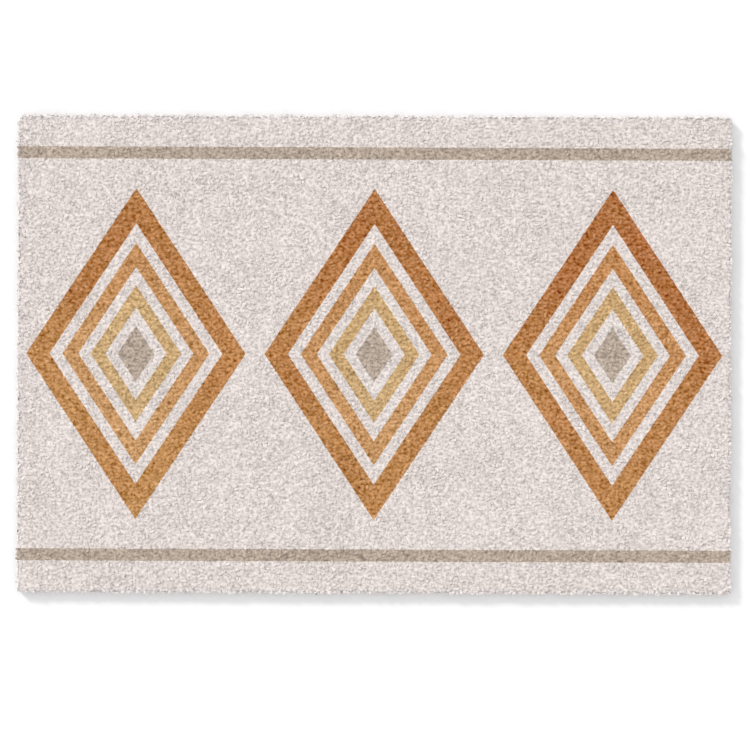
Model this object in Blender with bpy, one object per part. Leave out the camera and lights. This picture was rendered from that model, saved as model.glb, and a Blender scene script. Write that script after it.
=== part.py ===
"""Doormat: one rounded rectangle of short curly pile, lying flat.

Metres, +Z up. The long side runs along X. The origin is the middle of the
flat underside, so the mat rests on Z = 0.
"""
import math

import bmesh
import bpy
from mathutils import noise

COLLECTION_NAME = "doormat"
NODE_NAME = "mat"

# Driving dimensions
LENGTH = 0.762
WIDTH = 0.510
THICKNESS = 0.011
CORNER_RADIUS = 0.0065

# The pile bulges over its base: the top edge is rounded, the foot is drawn in
RIM_RADIUS = 0.0045
RIM_STEPS = 3
FOOT_HEIGHT = 0.0022
FOOT_INSET = 0.0012

# Size of the grid's inner cells, and how far they start inside the corners
CELL_LENGTH = 0.0150
CORNER_MARGIN = 0.0010

# Unevenness of the cut edge and of the pile's face
EDGE_WANDER = 0.0008
EDGE_WANDER_LENGTH = 0.018
FACE_WANDER = 0.0005
FACE_WANDER_LENGTH = 0.030
WANDER_SEED = 11.0
WANDER_LAYER_STEP = 7.3

PILE_COLOUR = (0.74, 0.67, 0.63, 1.0)
PILE_ROUGHNESS = 0.95
SHARP_ANGLE = math.radians(60.0)


def clear_scene():
    """Remove the objects and collections that the file starts with."""
    for item in list(bpy.data.objects):
        bpy.data.objects.remove(item, do_unlink=True)
    for group in list(bpy.data.collections):
        bpy.data.collections.remove(group)


def pile_material():
    """Matt cream pile."""
    material = bpy.data.materials.new("pile")
    material.use_nodes = True
    shader = material.node_tree.nodes["Principled BSDF"]
    shader.inputs["Base Color"].default_value = PILE_COLOUR
    shader.inputs["Roughness"].default_value = PILE_ROUGHNESS
    shader.inputs["Metallic"].default_value = 0.0
    return material


def rim_insets():
    """How far the grid's outer lines lie inside the edge, outermost first.

    They are spaced evenly round the rim's quarter circle, so the rounded
    edge has facets of one length. The last one clears the corner's arc.
    """
    angles = [math.radians(90.0 * step / RIM_STEPS) for step in range(RIM_STEPS + 1)]
    rim = [RIM_RADIUS * (1.0 - math.cos(angle)) for angle in angles]
    return rim + [CORNER_RADIUS + CORNER_MARGIN]


def grid_lines(half_side):
    """Coordinates of the grid lines across one side, from -half to +half."""
    insets = rim_insets()
    inner_half = half_side - insets[-1]
    cells = round(2.0 * inner_half / CELL_LENGTH)
    inner = [-inner_half + 2.0 * inner_half * index / cells for index in range(cells + 1)]
    low = [-half_side + inset for inset in insets[:-1]]
    high = [half_side - inset for inset in reversed(insets[:-1])]
    return low + inner + high


def past_corner_start(x, y):
    """How far a point lies past the start of the corner's arc, each way."""
    return (abs(x) - (LENGTH / 2.0 - CORNER_RADIUS),
            abs(y) - (WIDTH / 2.0 - CORNER_RADIUS))


def round_corner(x, y):
    """Pull a point of a square corner in to the quarter circle."""
    over_x, over_y = past_corner_start(x, y)
    if over_x <= 0.0 or over_y <= 0.0:
        return x, y
    shrink = max(over_x, over_y) / math.hypot(over_x, over_y)
    return (math.copysign(abs(x) - over_x * (1.0 - shrink), x),
            math.copysign(abs(y) - over_y * (1.0 - shrink), y))


def inset_of(x, y):
    """Distance of a point of the rounded rectangle from its edge."""
    over_x, over_y = past_corner_start(x, y)
    if over_x > 0.0 and over_y > 0.0:
        return max(CORNER_RADIUS - math.hypot(over_x, over_y), 0.0)
    return max(CORNER_RADIUS - max(over_x, over_y), 0.0)


def rim_height(inset):
    """Height of the pile's face at a distance in from the edge."""
    if inset >= RIM_RADIUS:
        return THICKNESS
    fall = RIM_RADIUS - inset
    return THICKNESS - RIM_RADIUS + math.sqrt(RIM_RADIUS ** 2 - fall ** 2)


def wander(x, y, length, layer):
    """Smooth noise from -1 to 1 that changes over the given length."""
    return noise.noise((x / length, y / length, WANDER_SEED + WANDER_LAYER_STEP * layer))


def edge_push(x, y, layer, from_edge):
    """Push in or out, strongest at the edge and gone one cell in from it."""
    fade = max(1.0 - from_edge / CELL_LENGTH, 0.0)
    return EDGE_WANDER * fade * wander(x, y, EDGE_WANDER_LENGTH, layer)


def shape_face(mesh):
    """Turn a unit grid into the mat's pile face with its rounded rim."""
    lines_x = grid_lines(LENGTH / 2.0)
    lines_y = grid_lines(WIDTH / 2.0)
    columns = len(lines_x) - 1
    rows = len(lines_y) - 1
    bmesh.ops.create_grid(mesh, x_segments=columns, y_segments=rows, size=0.5)
    for vertex in mesh.verts:
        column = round((vertex.co.x + 0.5) * columns)
        row = round((vertex.co.y + 0.5) * rows)
        x, y = round_corner(lines_x[column], lines_y[row])
        inset = inset_of(x, y)
        lump = FACE_WANDER * wander(x, y, FACE_WANDER_LENGTH, 2) * min(inset / RIM_RADIUS, 1.0)
        vertex.co.x = x + edge_push(x, y, 0, LENGTH / 2.0 - abs(x))
        vertex.co.y = y + edge_push(x, y, 1, WIDTH / 2.0 - abs(y))
        vertex.co.z = rim_height(inset) + lump


def drop_wall(mesh, height, inset):
    """Extrude the open edge down to a height and draw it in."""
    edge = [item for item in mesh.edges if item.is_boundary]
    lower = bmesh.ops.extrude_edge_only(mesh, edges=edge)["geom"]
    for vertex in (item for item in lower if isinstance(item, bmesh.types.BMVert)):
        vertex.co.x *= 1.0 - 2.0 * inset / LENGTH
        vertex.co.y *= 1.0 - 2.0 * inset / WIDTH
        vertex.co.z = height


def centre_on_origin(mesh):
    """Put the middle of the outline over the origin."""
    for axis in (0, 1):
        values = [vertex.co[axis] for vertex in mesh.verts]
        middle = (min(values) + max(values)) / 2.0
        for vertex in mesh.verts:
            vertex.co[axis] -= middle


def build_mat(collection):
    """The mat as one closed body with a flat underside."""
    mesh = bmesh.new()
    shape_face(mesh)
    drop_wall(mesh, FOOT_HEIGHT, 0.0)
    drop_wall(mesh, 0.0, FOOT_INSET)
    bmesh.ops.holes_fill(mesh, edges=[item for item in mesh.edges if item.is_boundary])
    bmesh.ops.recalc_face_normals(mesh, faces=mesh.faces)
    centre_on_origin(mesh)

    data = bpy.data.meshes.new(NODE_NAME)
    mesh.to_mesh(data)
    mesh.free()
    data.materials.append(pile_material())
    data.shade_smooth()
    data.set_sharp_from_angle(angle=SHARP_ANGLE)
    collection.objects.link(bpy.data.objects.new(NODE_NAME, data))


def main():
    clear_scene()
    collection = bpy.data.collections.new(COLLECTION_NAME)
    bpy.context.scene.collection.children.link(collection)
    build_mat(collection)


main()
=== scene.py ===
"""Looks of the doormat: curly pile made of small bent strands over a dense ground, with a printed face."""
import math

import bmesh
import bpy
import numpy as np
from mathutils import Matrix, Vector, noise


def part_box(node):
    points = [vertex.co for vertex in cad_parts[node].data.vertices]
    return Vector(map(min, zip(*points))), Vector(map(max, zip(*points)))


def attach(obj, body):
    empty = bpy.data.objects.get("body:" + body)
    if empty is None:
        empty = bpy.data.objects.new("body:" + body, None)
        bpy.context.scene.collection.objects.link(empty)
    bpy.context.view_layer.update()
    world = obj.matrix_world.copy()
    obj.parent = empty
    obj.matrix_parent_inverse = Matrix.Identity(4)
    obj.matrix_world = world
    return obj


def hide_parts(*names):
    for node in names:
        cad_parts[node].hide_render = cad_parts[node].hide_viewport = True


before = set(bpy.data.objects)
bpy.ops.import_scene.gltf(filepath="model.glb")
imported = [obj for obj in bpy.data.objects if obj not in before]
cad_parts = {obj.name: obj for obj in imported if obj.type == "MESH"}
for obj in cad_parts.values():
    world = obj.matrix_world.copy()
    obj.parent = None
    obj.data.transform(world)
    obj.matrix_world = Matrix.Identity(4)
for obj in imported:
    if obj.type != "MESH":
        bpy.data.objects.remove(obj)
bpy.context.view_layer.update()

SEED = 20
MILLI = 0.001
TINY = 1e-12
# How far apart the layers of one noise are read
NOISE_LAYER_STEP = 7.7

# The mat's sizes, from the frame
MAT_LOW, MAT_HIGH = (np.array(corner, float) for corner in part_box("mat"))
LENGTH, WIDTH, THICKNESS = MAT_HIGH - MAT_LOW
HALF_X = LENGTH / 2.0
HALF_Y = WIDTH / 2.0
# Lower left, lower right, upper right and upper left, as seen from above
CORNER_RADII = np.array((4.0, 4.0, 6.0, 10.5)) * MILLI
RIM_RADIUS = 2.0 * MILLI

# The dense ground under the strands
GROUND_DROP = 2.2 * MILLI
GROUND_INSET = 0.9 * MILLI
GROUND_RIM_RADIUS = 0.4 * MILLI
GROUND_CELL = 2.6 * MILLI
GROUND_LUMP = 0.45 * MILLI
GROUND_LUMP_LENGTH = 3.2 * MILLI
GROUND_NOISE_LAYER = 0.5
FOOT_HEIGHT = 1.5 * MILLI
FOOT_INSET = 1.2 * MILLI
UNDERSIDE_SLOT = 1
# The ground's map: the face below, the underside smaller above it
FACE_MAP_SIZE = np.array((1.0, 0.70))
UNDERSIDE_MAP_CORNER = np.array((0.0, 0.73))
UNDERSIDE_MAP_SIZE = np.array((0.40, 0.26))

# The strands: closed three-sided tubes that rise in the middle and dip at both ends
TUBE_SIDES = (90.0, 205.0, 335.0)
STRAND_TURN = math.radians(130.0)
STRAND_WOBBLE = math.radians(40.0)
STRAND_LEAN = 0.85
STRAND_FLAT = 0.66
DIP_POWER = 2.6
END_TAPER = 0.62
RADIUS_SPREAD = (0.86, 1.14)
# Painted shade: each strand darker towards its roots, where it dips into the pile
ROOT_PAINTED_SHADE = -0.9
ROOT_POWER = 3.0
TONE_SPREAD = 0.8
NORMAL_LIFT = 3.2

# Unevenness of the whole pile: slow rises, and tufts, painted lighter where they stand up and darker where they
# sink, as painted light and shade
LEVEL_SPREAD = 0.25 * MILLI
LUMP_HEIGHT = 0.30 * MILLI
LUMP_LENGTH = 32.0 * MILLI
TUFT_HEIGHT = 0.40 * MILLI
TUFT_LENGTH = 7.0 * MILLI
TUFT_PAINTED_LIGHT = 4.0

# How the strands are thrown, and the raster that keeps them apart
THROW_CELL = 1.7 * MILLI
RASTER = 0.5 * MILLI
RASTER_MARGIN = 20.0 * MILLI

# The face's strands are laid out to FACE_APRON past the outline, and those whose middle lies
# FACE_INSET inside it are kept. What still passes the outline, which wanders here, is pulled in
FACE_APRON = 5.0 * MILLI
FACE_INSET = 0.3 * MILLI
END_WANDER = 0.9 * MILLI
END_WANDER_LENGTH = 5.0 * MILLI
END_DROP = 0.3
# The outermost strands are painted lighter, as painted light against the shade at the rim
BORDER_PAINTED_LIGHT = 5.0
BORDER_BAND = 3.5 * MILLI

# The side's strands reach from just under the foot's top to SIDE_CLIMB round the rim
SIDE_UNDERCUT = 0.3 * MILLI
SIDE_CLIMB = 1.2 * MILLI
SIDE_WANDER = 0.8 * MILLI
SIDE_WANDER_LENGTH = 6.0 * MILLI
SIDE_STRAY = 0.5 * MILLI
# The side's strands are painted a little lighter, as painted light on the wall
SIDE_PAINTED_LIGHT = 1.0
# No strand's middle line comes nearer to the floor than this many times its radius
FLOOR_CLEARANCE = 1.02

# Layers of strands, highest first. drop: how far they lie under the face; apart: the least distance between
# two centre lines; hidden: the share of one that may lie under those above; tiles: objects along X and Y.
# The top layer is painted lighter and the lower one darker, as painted light and shade
LAYERS = (
    {"name": "top", "drop": 0.0, "dip": 0.5 * MILLI, "radius": 1.6 * MILLI, "apart": 2.6 * MILLI, "hidden": 1.0,
     "lengths": ((4.5 * MILLI, 7.5 * MILLI), (2.9 * MILLI, 4.5 * MILLI), (2.0 * MILLI, 2.9 * MILLI)),
     "points": 5, "tone_and_shade": 0.2, "tiles": (3, 2)},
    {"name": "middle", "drop": 0.5 * MILLI, "dip": 0.4 * MILLI, "radius": 1.6 * MILLI, "apart": 2.7 * MILLI,
     "hidden": 0.5, "lengths": ((3.6 * MILLI, 6.0 * MILLI), (2.6 * MILLI, 3.6 * MILLI)),
     "points": 4, "tone_and_shade": -0.8, "tiles": (3, 1)},
)

# The print: a row of nested lozenges, and a stripe along each long edge
LOZENGE_PITCH = LENGTH / 3.0
LOZENGE_HALF_LENGTH = 0.118
LOZENGE_HALF_HEIGHT = 0.178
BORDER_MIDDLE = 0.2145
BORDER_WIDTH = 0.013
# Band name, band width and the gap that follows it, from the lozenge's edge inwards
BAND_START = 0.0005
LOZENGE_BANDS = (
    ("orange", 0.0210, 0.0115),
    ("ochre", 0.0140, 0.0110),
    ("gold", 0.0130, 0.0105),
    ("taupe", 0.0300, 0.0),
)
# Linear colours: the print's first tone and the tone that it fades to
FIRST_TONE = {
    "field": (0.619, 0.560, 0.534),
    "orange": (0.344, 0.121, 0.034),
    "ochre": (0.442, 0.203, 0.073),
    "gold": (0.477, 0.307, 0.140),
    "taupe": (0.391, 0.320, 0.262),
}
FADED_TONE = {
    "field": (0.619, 0.560, 0.534),
    "orange": (0.478, 0.262, 0.098),
    "ochre": (0.505, 0.298, 0.135),
    "gold": (0.511, 0.350, 0.178),
    "taupe": (0.391, 0.320, 0.262),
}
# The print is faded by FADE_MIDDLE in the mat's middle, and by so much more for each metre along X and Y
FADE_MIDDLE = 0.42
FADE_ALONG_X = -0.5
FADE_ALONG_Y = -1.5
FADE_PATCH_SCALE = 9.0
FADE_PATCH = 0.35
# The print's edges waver: noise scale and reach, coarse and fine. The lozenges waver more
SHAKES = ((160.0, 0.0004), (700.0, 0.0003))
LOZENGE_SHAKE = 10.0
# The print reaches this deep into the pile, and fades out over half as much again
PRINT_DEPTH = 3.5 * MILLI
# Light and dark strands differ by this much more where the print is strong: partly as it takes unevenly there,
# partly as stronger painted light and shade on the pile
PRINT_SPREAD = (0.37, 0.33, 0.26)

# How strongly a strand's tone, with its painted light and shade, shades it, and slow drifts of the shade over
# the face
TONE_SHADE = 0.035
DRIFT_SCALE = 14.0
DRIFT_SHADE = 0.035
# Light and dark specks of the pile, a little longer along X: painted light and shade of the pile's fine grain
SPECK_SCALE = 335.0
SPECK_STRETCH = 1.3
SPECK_SHADE = 0.31
SPECK_SKEW = 0.4
SPECK_LIFT = 0.01
# The pile is painted a little greyer, in patches, near the outline: painted shade of the rim
EDGE_FADE = 9.0 * MILLI
EDGE_SHADE_TINT = (0.965, 0.998, 1.02)
EDGE_PATCH_SCALE = 55.0
EDGE_PATCH = 1.5
FIBRE_SCALE = 1100.0
PILE_BUMP = {"Strength": 0.5, "Distance": 0.0003}
PILE_FINISH = {"Roughness": 0.95, "Specular IOR Level": 0.15, "Sheen Weight": 0.12, "Sheen Roughness": 0.6}

# The underside's cloth
THREAD_PITCH = 2.2 * MILLI
CLOTH_FIBRE_SCALE = 600.0
CLOTH_MIDDLE = 0.45
CLOTH_WEAVE = 0.10
CLOTH_FIBRE = 0.12
CLOTH_DARK = (0.34, 0.30, 0.27)
CLOTH_LIGHT = (0.62, 0.57, 0.52)
CLOTH_BUMP = {"Strength": 0.6, "Distance": 0.0004}
CLOTH_FINISH = {"Roughness": 0.92, "Specular IOR Level": 0.15}

# The studio
KEY_DIRECTION = Vector((1.0, -1.0, -0.75))
KEY_STRENGTH = 2.15
KEY_ANGLE = math.radians(13.0)
FILL_COLOUR = (1.0, 1.0, 1.0)
FILL_STRENGTH = 1.143
FLOOR_COLOUR = (0.730, 0.727, 0.730)
FLOOR_FINISH = {"Roughness": 1.0, "Specular IOR Level": 0.0}
FLOOR_HALF = 12.0
FLOOR_LEVEL = -0.0001
LENS = 135.0
SENSOR = 36.0
CLIP_START = 0.05
CLIP_END = 100.0
PHOTO_PIXELS = 750.0
PIXELS_LONG_SIDE = 715.4
MAT_MIDDLE_PIXEL = (374.1, 354.5)
MAT_TURN = math.radians(0.22)


def outline(along):
    """Points of the rounded outline at distances along it, and the outward normals there."""
    spots = np.array([(-HALF_X, -HALF_Y), (HALF_X, -HALF_Y), (HALF_X, HALF_Y), (-HALF_X, HALF_Y)])
    ends = np.roll(CORNER_RADII, -1)
    sides = 2.0 * np.array([HALF_X, HALF_Y, HALF_X, HALF_Y]) - CORNER_RADII - ends
    starts = np.concatenate([[0.0], np.cumsum(sides + ends * math.pi / 2.0)])
    along = np.mod(along, starts[-1])
    side = np.clip(np.searchsorted(starts, along, side="right") - 1, 0, 3)
    local = along - starts[side]
    radius = ends[side]
    heading = side * math.pi / 2.0
    facing = heading - math.pi / 2.0 + np.maximum(local - sides[side], 0.0) / radius
    direction = np.stack([np.cos(heading), np.sin(heading)], axis=-1)
    inward = np.stack([-np.sin(heading), np.cos(heading)], axis=-1)
    normal = np.stack([np.cos(facing), np.sin(facing)], axis=-1)
    reach = CORNER_RADII[side] + np.minimum(local, sides[side])
    centre = spots[side] + direction * reach[..., None] + inward * radius[..., None]
    return centre + normal * radius[..., None], normal


def outline_length():
    return 4.0 * (HALF_X + HALF_Y) + (math.pi / 2.0 - 2.0) * CORNER_RADII.sum()


def corner_radius(x, y):
    """Radius of the corner that lies nearest."""
    lower = np.where(x > 0.0, CORNER_RADII[1], CORNER_RADII[0])
    upper = np.where(x > 0.0, CORNER_RADII[2], CORNER_RADII[3])
    return np.where(y > 0.0, upper, lower)


def inset_of(x, y):
    """Distance in from the rounded outline."""
    radius = corner_radius(x, y)
    over_x = np.abs(x) - (HALF_X - radius)
    over_y = np.abs(y) - (HALF_Y - radius)
    rounded = np.hypot(np.maximum(over_x, 0.0), np.maximum(over_y, 0.0))
    return radius - np.where((over_x > 0.0) & (over_y > 0.0), rounded, np.maximum(over_x, over_y))


def rim_fall(inset, radius=RIM_RADIUS):
    """How far a rounded rim lies under the face at a distance in from its outline."""
    inward = np.clip(radius - inset, 0.0, radius)
    return radius - np.sqrt(radius ** 2 - inward ** 2)


def smooth_noise(points, length, layer):
    """Noise from about -1 to 1 at each point, changing over the given length."""
    flat = points.reshape(-1, points.shape[-1]) / length
    values = [noise.noise(Vector((row[0], row[1], layer * NOISE_LAYER_STEP))) for row in flat]
    return np.array(values).reshape(points.shape[:-1])


def unevenness(spots):
    """The pile's slow rise at each spot, and how far its tuft there stands up, from about -1 to 1."""
    return LUMP_HEIGHT * smooth_noise(spots, LUMP_LENGTH, 1), smooth_noise(spots, TUFT_LENGTH, 2)


def bent_paths(rng, count, lengths, points):
    """Offsets along two axes of the points of each strand from its middle, an array of (strand, point, 2)."""
    t = np.linspace(0.0, 1.0, points)
    length = rng.uniform(*lengths, count)
    start = rng.uniform(0.0, 2.0 * math.pi, count)
    turn = rng.normal(0.0, STRAND_TURN, count)
    wobble = rng.normal(0.0, STRAND_WOBBLE, count)
    phase = rng.uniform(0.0, 2.0 * math.pi, count)
    heading = (start[:, None] + turn[:, None] * (t - 0.5)
               + wobble[:, None] * np.sin(2.0 * math.pi * t + phase[:, None]))
    middle = (heading[:, :-1] + heading[:, 1:]) / 2.0
    step = np.stack([np.cos(middle), STRAND_LEAN * np.sin(middle)], axis=-1)
    step *= length[:, None, None] / (points - 1)
    path = np.concatenate([np.zeros((count, 1, 2)), np.cumsum(step, axis=1)], axis=1)
    return path - path.mean(axis=1, keepdims=True)


def disc(radius):
    """Raster cells within a radius of the middle one, as a square mask."""
    reach = int(radius / RASTER)
    steps = np.arange(-reach, reach + 1)
    return np.hypot(*np.meshgrid(steps, steps)) * RASTER <= radius


def stamp(raster, cells, mask):
    """Mark the mask round each cell."""
    reach = len(mask) // 2
    for a, b in cells:
        raster[a - reach:a + reach + 1, b - reach:b + reach + 1] |= mask


def thrown(rng, size_a, size_b):
    """Points of a jittered grid over a rectangle from 0,0, in random order."""
    count_a = max(round(size_a / THROW_CELL), 1)
    count_b = max(round(size_b / THROW_CELL), 1)
    a, b = np.meshgrid(np.arange(count_a), np.arange(count_b), indexing="ij")
    push = rng.uniform(0.0, 1.0, (2, count_a, count_b))
    spots = np.stack([(a + push[0]) * size_a / count_a, (b + push[1]) * size_b / count_b], axis=-1)
    return rng.permutation(spots.reshape(-1, 2))


def cells_of(points):
    """Raster cell of each point."""
    return ((points + RASTER_MARGIN) / RASTER).astype(int)


def lay_strands(rng, size_a, size_b, low=-math.inf, high=math.inf):
    """Flat paths of every layer over a rectangle, between two limits along its second side.

    Each strand is kept where it clears the others of its layer and isn't
    too much hidden under the layers above.
    """
    shape = [int((size + 2.0 * RASTER_MARGIN) / RASTER) for size in (size_a, size_b)]
    covered = np.zeros(shape, bool)
    laid = []
    for layer in LAYERS:
        blocked = np.zeros(shape, bool)
        kept = []
        for lengths in layer["lengths"]:
            middle = thrown(rng, size_a, size_b)
            paths = middle[:, None, :] + bent_paths(rng, len(middle), lengths, layer["points"])
            paths = paths[(paths[..., 1].min(axis=1) > low) & (paths[..., 1].max(axis=1) < high)]
            cells = cells_of(paths)
            inner = cells[:, 1:-1]
            hidden = covered[inner[..., 0], inner[..., 1]].mean(axis=1)
            for number in np.flatnonzero(hidden <= layer["hidden"]):
                line = inner[number]
                if not blocked[line[:, 0], line[:, 1]].any():
                    stamp(blocked, cells[number], disc(layer["apart"]))
                    kept.append(paths[number])
        laid.append(np.array(kept))
        stamp(covered, cells_of(laid[-1].reshape(-1, 2)), disc(layer["radius"]))
    return laid


def strand_rise(rng, layer, count):
    """Height of each point over the layer's level: random for each strand, and dipping at its ends."""
    t = np.linspace(0.0, 1.0, layer["points"])
    dip = layer["dip"] * np.abs(2.0 * t - 1.0) ** DIP_POWER
    return rng.uniform(-LEVEL_SPREAD, LEVEL_SPREAD, count)[:, None] - dip


def strand_radii(rng, layer, count):
    """Radius at each point: full in the middle, tapered to the ends."""
    t = np.linspace(0.0, 1.0, layer["points"])
    taper = END_TAPER + (1.0 - END_TAPER) * np.sqrt(np.sin(math.pi * t).clip(0.0))
    return layer["radius"] * rng.uniform(*RADIUS_SPREAD, count)[:, None] * taper


def strand_tone_and_shade(rng, layer, count):
    """A random tone for each strand, with painted shade towards its roots, painted shade in the lower layer and
    painted light in the top one.
    """
    t = np.linspace(0.0, 1.0, layer["points"])
    root = ROOT_PAINTED_SHADE * np.abs(2.0 * t - 1.0) ** ROOT_POWER
    return layer["tone_and_shade"] + rng.normal(0.0, TONE_SPREAD, count)[:, None] + root


def unit(vectors):
    return vectors / np.maximum(np.linalg.norm(vectors, axis=-1, keepdims=True), TINY)


def rings_around(points, normals, radii):
    """Corners of the rings round each path, and the normals that they are shaded with.

    Fuzzy yarn lets light through, so its shading is softer than a hard
    tube's: the normals lean towards the mat's own.
    """
    tangent = unit(np.gradient(points, axis=1))
    across = unit(np.cross(tangent, normals))
    up = np.cross(across, tangent)
    angles = np.radians(TUBE_SIDES)
    sideways = np.cos(angles)[:, None] * across[:, :, None, :]
    upward = np.sin(angles)[:, None] * up[:, :, None, :]
    corners = points[:, :, None, :] + radii[:, :, None, None] * (sideways + STRAND_FLAT * upward)
    lift = unit(normals + (0.0, 0.0, 1.0))
    facing = unit(unit(STRAND_FLAT * sideways + upward) + NORMAL_LIFT * lift[:, :, None, :])
    return corners.reshape(-1, 3), facing.reshape(-1, 3)


def tube_faces(count, points):
    """Corner indices of all side faces and of all end faces of equal closed tubes."""
    sides = len(TUBE_SIDES)
    ring = np.arange(sides)
    after = np.roll(ring, -1)
    segment = np.arange(points - 1)[:, None] * sides
    quad = np.stack([ring + segment, ring + segment + sides, after + segment + sides, after + segment], axis=-1)
    caps = np.stack([ring, ring[::-1] + (points - 1) * sides])
    base = np.arange(count)[:, None, None] * (points * sides)
    return (quad.reshape(1, -1, 4) + base).reshape(-1, 4), (caps[None] + base).reshape(-1, sides)


def add_top_map(mesh):
    """A flat map seen from above that fills the square, for whoever paints the piece."""
    points = np.empty(len(mesh.vertices) * 3)
    mesh.vertices.foreach_get("co", points)
    points = points.reshape(-1, 3)[:, :2]
    low = points.min(axis=0)
    placed = (points - low) / (points.max(axis=0) - low)
    corners = np.empty(len(mesh.loops), np.int64)
    mesh.loops.foreach_get("vertex_index", corners)
    layer = mesh.uv_layers.new(name="OFBake")
    layer.uv.foreach_set("vector", placed[corners].ravel())


def part_underside_map(mesh):
    """Move the underside to a part of the map of its own, clear of the face's."""
    slots = np.empty(len(mesh.polygons), np.int64)
    mesh.polygons.foreach_get("material_index", slots)
    sizes = np.empty(len(mesh.polygons), np.int64)
    mesh.polygons.foreach_get("loop_total", sizes)
    under = np.repeat(slots == UNDERSIDE_SLOT, sizes)
    layer = mesh.uv_layers["OFBake"]
    spots = np.empty(len(mesh.loops) * 2)
    layer.uv.foreach_get("vector", spots)
    spots = spots.reshape(-1, 2)
    spots[~under] *= FACE_MAP_SIZE
    spots[under] = UNDERSIDE_MAP_CORNER + spots[under] * UNDERSIDE_MAP_SIZE
    layer.uv.foreach_set("vector", spots.ravel())


def mesh_from_arrays(name, points, faces_by_size):
    """A smooth mesh from corner positions and arrays of faces of one size each."""
    mesh = bpy.data.meshes.new(name)
    loops = np.concatenate([faces.ravel() for faces in faces_by_size])
    sizes = np.concatenate([np.full(len(faces), faces.shape[1]) for faces in faces_by_size])
    starts = np.concatenate([[0], np.cumsum(sizes)[:-1]])
    mesh.vertices.add(len(points))
    mesh.vertices.foreach_set("co", points.ravel())
    mesh.loops.add(len(loops))
    mesh.loops.foreach_set("vertex_index", loops)
    mesh.polygons.add(len(sizes))
    mesh.polygons.foreach_set("loop_start", starts)
    mesh.update(calc_edges=True)
    mesh.shade_smooth()
    return mesh


def link_object(name, data):
    """Put a mesh, a lamp or a camera into the scene as an object."""
    item = bpy.data.objects.new(name, data)
    bpy.context.scene.collection.objects.link(item)
    return item


def strands_object(name, points, normals, radii, tone_and_shade, material):
    """One object of many strands."""
    corners, facing = rings_around(points, normals, radii)
    mesh = mesh_from_arrays(name, corners, tube_faces(*points.shape[:2]))
    mesh.normals_split_custom_set_from_vertices(facing)
    shade = mesh.attributes.new("tone_and_shade", "FLOAT", "POINT")
    shade.data.foreach_set("value", np.repeat(tone_and_shade, len(TUBE_SIDES), axis=1).ravel())
    add_top_map(mesh)
    mesh.materials.append(material)
    return link_object(name, mesh)


def tiles_of(points, layer):
    """Number of the tile of the face that each strand's middle lies in."""
    columns, rows = layer["tiles"]
    middle = points[:, points.shape[1] // 2]
    column = np.clip(((middle[:, 0] + HALF_X) / LENGTH * columns).astype(int), 0, columns - 1)
    row = np.clip(((middle[:, 1] + HALF_Y) / WIDTH * rows).astype(int), 0, rows - 1)
    return row * columns + column


def pulled_in(spots):
    """Spots moved in where they pass the wandering outline, and how far each was moved."""
    inset = inset_of(spots[..., 0], spots[..., 1])
    least = END_WANDER * smooth_noise(spots, END_WANDER_LENGTH, 4)
    radius = corner_radius(spots[..., 0], spots[..., 1])[..., None]
    core = np.clip(spots, radius - (HALF_X, HALF_Y), (HALF_X, HALF_Y) - radius)
    moved = np.maximum(least - inset, 0.0)
    return spots - unit(spots - core) * moved[..., None], moved


def face_strands(rng, material):
    """The strands on the mat's face, as objects of one tile of one layer each."""
    half = np.array((HALF_X, HALF_Y)) + FACE_APRON
    items = []
    for layer, paths in zip(LAYERS, lay_strands(rng, *(2.0 * half))):
        paths = paths - half
        middle = paths[:, layer["points"] // 2]
        paths = paths[inset_of(middle[:, 0], middle[:, 1]) > FACE_INSET]
        count = len(paths)
        points = np.empty((count, layer["points"], 3))
        points[..., :2], moved = pulled_in(paths)
        lump, tuft = unevenness(points[:, layer["points"] // 2, :2])
        level = THICKNESS - layer["radius"] * STRAND_FLAT - LUMP_HEIGHT - layer["drop"]
        inset = inset_of(points[..., 0], points[..., 1])
        rise = (lump + TUFT_HEIGHT * tuft)[:, None] + strand_rise(rng, layer, count)
        points[..., 2] = level + rise - rim_fall(inset) - END_DROP * moved
        normals = np.zeros_like(points)
        normals[..., 2] = 1.0
        radii = strand_radii(rng, layer, count)
        # Painted light: the outermost strands lighter, against the shade at the rim
        border_light = BORDER_PAINTED_LIGHT * np.clip(1.0 - inset / BORDER_BAND, 0.0, 1.0)
        tone_and_shade = strand_tone_and_shade(rng, layer, count) + TUFT_PAINTED_LIGHT * tuft[:, None] + border_light
        tile = tiles_of(points, layer)
        for number in range(tile.max() + 1):
            part = [values[tile == number] for values in (points, normals, radii, tone_and_shade)]
            items.append(strands_object(f"pile_{layer['name']}_{number + 1}", *part, material))
    return items


def round_the_side(paths, wall):
    """Points on the mat's side and rim for flat paths along the outline and up, and the normals there."""
    up = paths[..., 1]
    tilt = np.clip((up - wall) / RIM_RADIUS, 0.0, math.pi / 2.0)
    inset = RIM_RADIUS * (1.0 - np.cos(tilt))
    edge, outward = outline(paths[..., 0])
    points = np.empty(up.shape + (3,))
    points[..., :2] = edge - outward * inset[..., None]
    points[..., 2] = FOOT_HEIGHT + np.minimum(up, wall) + RIM_RADIUS * np.sin(tilt)
    normals = np.empty_like(points)
    normals[..., :2] = outward * np.cos(tilt)[..., None]
    normals[..., 2] = np.sin(tilt)
    return points, normals


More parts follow.
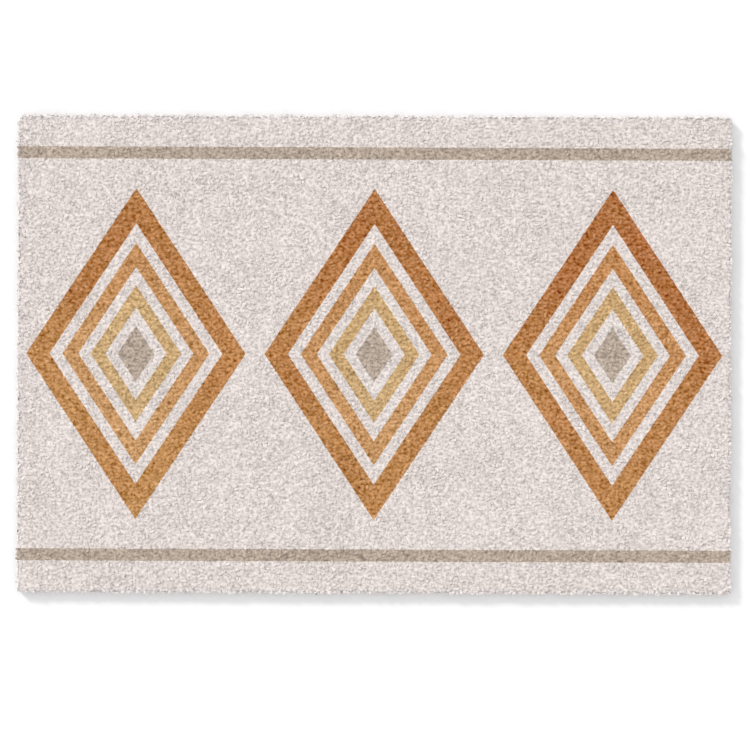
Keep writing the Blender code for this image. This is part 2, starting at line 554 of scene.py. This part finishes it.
def side_strands(rng, material):
    """The strands on the mat's sides and the lower part of its rim."""
    wall = THICKNESS - RIM_RADIUS - FOOT_HEIGHT
    skin = wall + SIDE_CLIMB
    items = []
    for layer, paths in zip(LAYERS, lay_strands(rng, outline_length(), skin, -SIDE_UNDERCUT, skin)):
        count = len(paths)
        points, normals = round_the_side(paths, wall)
        radii = strand_radii(rng, layer, count)
        wander = SIDE_WANDER * smooth_noise(paths[:, layer["points"] // 2], SIDE_WANDER_LENGTH, 3)
        stray = wander + rng.uniform(-SIDE_STRAY, SIDE_STRAY, count)
        sunk = layer["radius"] * STRAND_FLAT + LUMP_HEIGHT + layer["drop"]
        out = strand_rise(rng, layer, count) - sunk + stray[:, None]
        points += normals * out[..., None]
        points[..., 2] = np.maximum(points[..., 2], radii * FLOOR_CLEARANCE)
        # Painted light: the side's strands a little lighter
        tone_and_shade = strand_tone_and_shade(rng, layer, count) + SIDE_PAINTED_LIGHT
        items.append(strands_object(f"side_{layer['name']}", points, normals, radii, tone_and_shade, material))
    return items


def shape_ground_face(work, half_x, half_y):
    """Turn a unit grid into the ground's rough face with its rounded corners and rim."""
    for vertex in work.verts:
        x = vertex.co.x * 2.0 * half_x
        y = vertex.co.y * 2.0 * half_y
        radius = float(corner_radius(x, y))
        over_x = abs(x) - (half_x - radius)
        over_y = abs(y) - (half_y - radius)
        if over_x > 0.0 and over_y > 0.0:
            shrink = max(over_x, over_y) / math.hypot(over_x, over_y)
            x = math.copysign(abs(x) - over_x * (1.0 - shrink), x)
            y = math.copysign(abs(y) - over_y * (1.0 - shrink), y)
        inset = float(inset_of(x, y)) - GROUND_INSET
        bump = noise.noise(Vector((x / GROUND_LUMP_LENGTH, y / GROUND_LUMP_LENGTH, GROUND_NOISE_LAYER)))
        fall = float(rim_fall(inset, GROUND_RIM_RADIUS))
        vertex.co = (x, y, THICKNESS - GROUND_DROP - fall + GROUND_LUMP * bump)


def drop_wall(work, height, shrink_x, shrink_y):
    """Extrude the open edge down to a height and draw it in."""
    edge = [item for item in work.edges if item.is_boundary]
    lower = bmesh.ops.extrude_edge_only(work, edges=edge)["geom"]
    for vertex in (item for item in lower if isinstance(item, bmesh.types.BMVert)):
        vertex.co.x *= shrink_x
        vertex.co.y *= shrink_y
        vertex.co.z = height


def ground_object(pile, backing):
    """The dense ground: one closed body with a rough face, sides and a flat underside."""
    half_x = HALF_X - GROUND_INSET
    half_y = HALF_Y - GROUND_INSET
    columns = round(2.0 * half_x / GROUND_CELL)
    rows = round(2.0 * half_y / GROUND_CELL)
    work = bmesh.new()
    bmesh.ops.create_grid(work, x_segments=columns, y_segments=rows, size=0.5)
    shape_ground_face(work, half_x, half_y)
    drop_wall(work, FOOT_HEIGHT, 1.0, 1.0)
    drop_wall(work, 0.0, 1.0 - FOOT_INSET / half_x, 1.0 - FOOT_INSET / half_y)
    under = bmesh.ops.holes_fill(work, edges=[item for item in work.edges if item.is_boundary])["faces"]
    for face in work.faces:
        face.smooth = True
    for face in under:
        face.material_index = UNDERSIDE_SLOT
        face.smooth = False
    bmesh.ops.recalc_face_normals(work, faces=work.faces)
    mesh = bpy.data.meshes.new("ground")
    work.to_mesh(mesh)
    work.free()
    mesh.materials.append(pile)
    mesh.materials.append(backing)
    add_top_map(mesh)
    part_underside_map(mesh)
    return link_object("ground", mesh)


class Nodes:
    """Short calls for building one material's node tree."""

    def __init__(self, name):
        self.material = bpy.data.materials.new(name)
        self.material.use_nodes = True
        self.tree = self.material.node_tree
        self.shader = self.tree.nodes["Principled BSDF"]

    def add(self, kind, **values):
        node = self.tree.nodes.new(kind)
        for key, value in values.items():
            setattr(node, key, value)
        return node

    def plug(self, value, socket):
        if isinstance(value, bpy.types.NodeSocket):
            self.tree.links.new(value, socket)
        else:
            socket.default_value = value

    def outcome(self, node, values):
        """Plug the values into the node's first inputs, and return its first output."""
        for value, socket in zip(values, node.inputs):
            self.plug(value, socket)
        return node.outputs[0]

    def math(self, operation, *values, clamp=False):
        return self.outcome(self.add("ShaderNodeMath", operation=operation, use_clamp=clamp), values)

    def vector(self, operation, *values):
        return self.outcome(self.add("ShaderNodeVectorMath", operation=operation), values)

    def mix(self, factor, first, second, blend="MIX"):
        node = self.add("ShaderNodeMix", data_type="RGBA", blend_type=blend)
        self.plug(factor, node.inputs[0])
        self.plug(first, node.inputs[6])
        self.plug(second, node.inputs[7])
        return node.outputs[2]

    def place(self):
        """The mat's own coordinates: together, then each alone."""
        coordinates = self.add("ShaderNodeTexCoord").outputs["Object"]
        split = self.add("ShaderNodeSeparateXYZ")
        self.plug(coordinates, split.inputs[0])
        return coordinates, *split.outputs

    def stretched(self, place, amount):
        node = self.add("ShaderNodeMapping")
        self.plug(place, node.inputs["Vector"])
        node.inputs["Scale"].default_value = (1.0 / amount, 1.0, 1.0)
        return node.outputs[0]

    def noise(self, place, scale, detail=2.0):
        """Noise from -1 to 1."""
        node = self.add("ShaderNodeTexNoise")
        self.plug(place, node.inputs["Vector"])
        node.inputs["Scale"].default_value = scale
        node.inputs["Detail"].default_value = detail
        return self.math("MULTIPLY_ADD", node.outputs["Fac"], 2.0, -1.0)

    def bump(self, height, values):
        node = self.add("ShaderNodeBump")
        set_values(node, values)
        self.plug(height, node.inputs["Height"])
        self.plug(node.outputs[0], self.shader.inputs["Normal"])


def set_values(node, values):
    """Set inputs of a node by their names."""
    for name, value in values.items():
        node.inputs[name].default_value = value


def colour(rgb):
    return (*rgb, 1.0)


def band_ramp(nodes, depth, tones):
    """Colours of the nested bands, read at a depth from 0 at the lozenge's edge to 1 in its middle."""
    reach = LOZENGE_HALF_LENGTH * LOZENGE_HALF_HEIGHT / math.hypot(LOZENGE_HALF_LENGTH, LOZENGE_HALF_HEIGHT)
    ramp = nodes.add("ShaderNodeValToRGB")
    nodes.plug(depth, ramp.inputs[0])
    stops = ramp.color_ramp.elements
    ramp.color_ramp.interpolation = "CONSTANT"
    stops[0].position = 0.0
    stops[0].color = colour(tones["field"])
    stops.remove(stops[1])
    start = BAND_START
    for name, width, gap in LOZENGE_BANDS:
        stop = stops.new(start / reach)
        stop.color = colour(tones[name])
        start += width
        if gap:
            stop = stops.new(start / reach)
            stop.color = colour(tones["field"])
            start += gap
    return ramp.outputs[0]


def lozenge_colour(nodes, place, x, y, shake):
    """The row of nested lozenges, fading across the mat."""
    folded = nodes.math("PINGPONG", x, LOZENGE_PITCH / 2.0)
    part_x = nodes.math("DIVIDE", folded, LOZENGE_HALF_LENGTH)
    part_y = nodes.math("DIVIDE", nodes.math("ABSOLUTE", y), LOZENGE_HALF_HEIGHT)
    inside = nodes.math("SUBTRACT", 1.0, nodes.math("ADD", part_x, part_y))
    depth = nodes.math("ADD", inside, nodes.math("MULTIPLY", shake, LOZENGE_SHAKE), clamp=True)
    slope = nodes.math("MULTIPLY_ADD", y, FADE_ALONG_Y, FADE_MIDDLE)
    slope = nodes.math("ADD", slope, nodes.math("MULTIPLY", x, FADE_ALONG_X))
    patches = nodes.math("MULTIPLY", nodes.noise(place, FADE_PATCH_SCALE), FADE_PATCH)
    fade = nodes.math("ADD", slope, patches, clamp=True)
    return nodes.mix(fade, band_ramp(nodes, depth, FIRST_TONE), band_ramp(nodes, depth, FADED_TONE))


def printed_colour(nodes):
    """The print over the cream field, drawn from the mat's own coordinates."""
    place, x, y, z = nodes.place()
    wavers = [nodes.math("MULTIPLY", nodes.noise(place, scale), reach) for scale, reach in SHAKES]
    shake = nodes.math("ADD", *wavers)
    lozenges = lozenge_colour(nodes, place, x, y, shake)
    high = nodes.math("ADD", nodes.math("ABSOLUTE", y), shake)
    off_border = nodes.math("ABSOLUTE", nodes.math("SUBTRACT", high, BORDER_MIDDLE))
    in_border = nodes.math("LESS_THAN", off_border, BORDER_WIDTH / 2.0)
    printed = nodes.mix(in_border, lozenges, colour(FIRST_TONE["taupe"]))
    under = nodes.math("SUBTRACT", THICKNESS - PRINT_DEPTH, z)
    plain = nodes.math("DIVIDE", under, PRINT_DEPTH / 2.0, clamp=True)
    return place, nodes.mix(plain, printed, colour(FIRST_TONE["field"]))


def print_strength(nodes, printed):
    """From 0 on the cream field to nearly 1 on the orange, read from the blue that the print takes away."""
    split = nodes.add("ShaderNodeSeparateColor")
    nodes.plug(printed, split.inputs[0])
    blue_left = nodes.math("DIVIDE", split.outputs[2], FIRST_TONE["field"][2])
    return nodes.math("SUBTRACT", 1.0, blue_left, clamp=True)


def near_edge(nodes):
    """From 0 on the face to about 1 at the mat's outline, in patches."""
    place, x, y, _ = nodes.place()
    across = nodes.math("SUBTRACT", nodes.math("ABSOLUTE", x), HALF_X - EDGE_FADE)
    along = nodes.math("SUBTRACT", nodes.math("ABSOLUTE", y), HALF_Y - EDGE_FADE)
    near = nodes.math("DIVIDE", nodes.math("MAXIMUM", across, along), EDGE_FADE, clamp=True)
    patches = nodes.math("MULTIPLY_ADD", nodes.noise(place, EDGE_PATCH_SCALE), EDGE_PATCH, 1.0)
    return nodes.math("MULTIPLY", near, patches, clamp=True)


def pile_shade(nodes, place):
    """About 1: each strand's tone with its painted light and shade, slow drifts over the face and small specks
    of painted light and shade.
    """
    tone_and_shade = nodes.add("ShaderNodeAttribute", attribute_name="tone_and_shade").outputs["Fac"]
    drift = nodes.math("MULTIPLY", nodes.noise(place, DRIFT_SCALE), DRIFT_SHADE)
    shade = nodes.math("ADD", nodes.math("MULTIPLY_ADD", tone_and_shade, TONE_SHADE, 1.0), drift)
    speck = nodes.noise(nodes.stretched(place, SPECK_STRETCH), SPECK_SCALE, 0.0)
    speck = nodes.math("MULTIPLY", speck, nodes.math("MULTIPLY_ADD", speck, -SPECK_SKEW, 1.0))
    shade = nodes.math("MULTIPLY_ADD", speck, SPECK_SHADE, shade)
    return nodes.math("ADD", shade, SPECK_LIFT)


def pile_material():
    """Matt curly pile with its print, a little uneven from strand to strand, with painted light and shade in
    its colour.
    """
    nodes = Nodes("pile")
    place, base = printed_colour(nodes)
    shade = pile_shade(nodes, place)
    # Painted shade: the pile greyed near the outline
    shade_greyed = nodes.mix(1.0, base, colour(EDGE_SHADE_TINT), "MULTIPLY")
    adjust = nodes.add("ShaderNodeHueSaturation")
    nodes.plug(shade, adjust.inputs["Value"])
    nodes.plug(nodes.mix(near_edge(nodes), base, shade_greyed), adjust.inputs["Color"])
    # Painted light and shade: the shade's swing made stronger where the print is strong
    spread = nodes.math("MULTIPLY", nodes.math("SUBTRACT", shade, 1.0), print_strength(nodes, base))
    uneven_print_and_shade = nodes.vector("MULTIPLY_ADD", spread, PRINT_SPREAD, adjust.outputs[0])
    nodes.plug(nodes.vector("MAXIMUM", uneven_print_and_shade, (0.0, 0.0, 0.0)), nodes.shader.inputs["Base Color"])
    nodes.bump(nodes.noise(place, FIBRE_SCALE), PILE_BUMP)
    set_values(nodes.shader, PILE_FINISH)
    return nodes.material


def backing_material():
    """Plain woven ground cloth on the underside."""
    nodes = Nodes("backing")
    place, x, y, _ = nodes.place()
    turns = 2.0 * math.pi / THREAD_PITCH
    warp = nodes.math("SINE", nodes.math("MULTIPLY", x, turns))
    weft = nodes.math("SINE", nodes.math("MULTIPLY", y, turns))
    shade = nodes.math("MULTIPLY_ADD", nodes.math("MULTIPLY", warp, weft), CLOTH_WEAVE, CLOTH_MIDDLE)
    fibre = nodes.math("MULTIPLY", nodes.noise(place, CLOTH_FIBRE_SCALE), CLOTH_FIBRE)
    shade = nodes.math("ADD", shade, fibre, clamp=True)
    nodes.plug(nodes.mix(shade, colour(CLOTH_DARK), colour(CLOTH_LIGHT)), nodes.shader.inputs["Base Color"])
    nodes.bump(shade, CLOTH_BUMP)
    set_values(nodes.shader, CLOTH_FINISH)
    return nodes.material


def build_mat():
    """The ground and the strands, which take the place of the plain solid."""
    rng = np.random.default_rng(SEED)
    pile = pile_material()
    ground = ground_object(pile, backing_material())
    strands = side_strands(rng, pile) + face_strands(rng, pile)
    for item in [ground, *strands]:
        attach(item, "root")
    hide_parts("mat")


def build_floor():
    """A plain white floor, large enough to pass out of every view."""
    bpy.ops.mesh.primitive_plane_add(size=2.0 * FLOOR_HALF, location=(0.0, 0.0, FLOOR_LEVEL))
    floor = bpy.context.object
    floor.name = "floor"
    nodes = Nodes("floor")
    nodes.plug(colour(FLOOR_COLOUR), nodes.shader.inputs["Base Color"])
    set_values(nodes.shader, FLOOR_FINISH)
    floor.data.materials.append(nodes.material)


def build_lights():
    """A soft key from the upper left and an even white surround."""
    lamp = bpy.data.lights.new("key", "SUN")
    lamp.energy = KEY_STRENGTH
    lamp.angle = KEY_ANGLE
    key = link_object("key", lamp)
    key.rotation_euler = KEY_DIRECTION.to_track_quat("-Z", "Y").to_euler()
    world = bpy.data.worlds.new("surround")
    world.use_nodes = True
    set_values(world.node_tree.nodes["Background"], {"Color": colour(FILL_COLOUR), "Strength": FILL_STRENGTH})
    bpy.context.scene.world = world


def build_camera():
    """Straight above, framed as in the photograph, and turned by the mat's slight turn."""
    metres_per_pixel = LENGTH / PIXELS_LONG_SIDE
    off_x = (PHOTO_PIXELS / 2.0 - MAT_MIDDLE_PIXEL[0]) * metres_per_pixel
    off_y = (MAT_MIDDLE_PIXEL[1] - PHOTO_PIXELS / 2.0) * metres_per_pixel
    frame_side = PHOTO_PIXELS * metres_per_pixel
    lens = bpy.data.cameras.new("camera")
    lens.lens = LENS
    lens.sensor_width = SENSOR
    lens.clip_start = CLIP_START
    lens.clip_end = CLIP_END
    camera = link_object("camera", lens)
    camera.location = (off_x, off_y, THICKNESS + frame_side * LENS / SENSOR)
    camera.rotation_euler = (0.0, 0.0, MAT_TURN)
    bpy.context.scene.camera = camera


def set_colours():
    """Show the colours as they are, with no film look."""
    settings = bpy.context.scene.view_settings
    settings.view_transform = "Standard"
    settings.look = "None"
    settings.exposure = 0.0
    settings.gamma = 1.0


build_mat()
build_floor()
build_lights()
build_camera()
set_colours()
